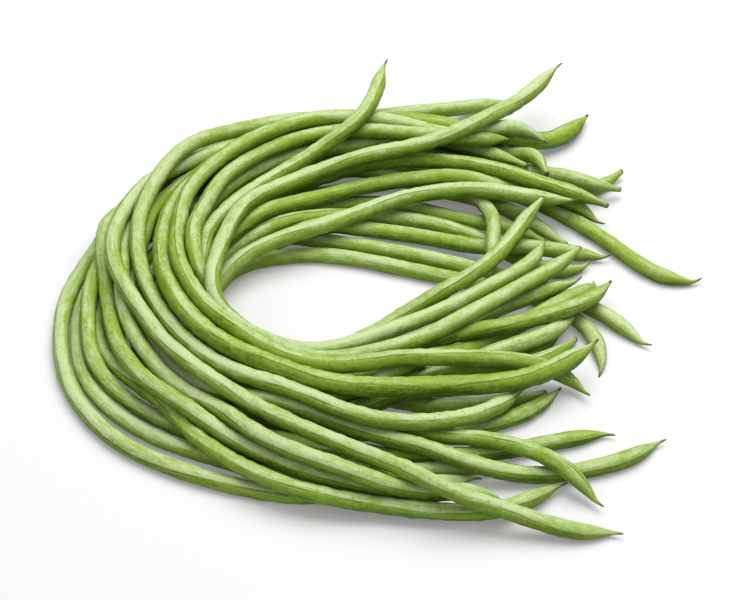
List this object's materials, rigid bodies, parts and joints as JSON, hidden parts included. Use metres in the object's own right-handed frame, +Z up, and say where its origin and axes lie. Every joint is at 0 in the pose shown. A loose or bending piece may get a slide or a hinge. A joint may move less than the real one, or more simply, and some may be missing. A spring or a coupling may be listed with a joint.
{
  "type": "yardlong bean bunch",
  "caption": "Bunch of long thin green bean pods bent round into an open horseshoe, lying on a table with its tips and stem ends fanned out at the open side.",
  "frame": {"origin": "middle of the bunch's outline in plan, at the height of the table it lies on", "axes": "+Z up from the table, +X towards the open side of the horseshoe, +Y towards the arm farther from the viewer"},
  "size_m": [0.304, 0.3054, 0.0359],
  "materials": {
    "green_pod": "satin skin of a fresh green pod"
  },
  "bodies": {
    "root": {"bean_01": "green_pod", "bean_02": "green_pod", "bean_03": "green_pod", "bean_04": "green_pod", "bean_05": "green_pod", "bean_06": "green_pod", "bean_07": "green_pod", "bean_08": "green_pod", "bean_09": "green_pod", "bean_10": "green_pod", "bean_11": "green_pod", "bean_12": "green_pod", "bean_13": "green_pod", "bean_14": "green_pod", "bean_15": "green_pod", "bean_16": "green_pod", "bean_17": "green_pod", "bean_18": "green_pod", "bean_19": "green_pod", "bean_20": "green_pod", "bean_21": "green_pod", "bean_22": "green_pod", "bean_23": "green_pod", "bean_24": "green_pod"}
  },
  "joints": []
}
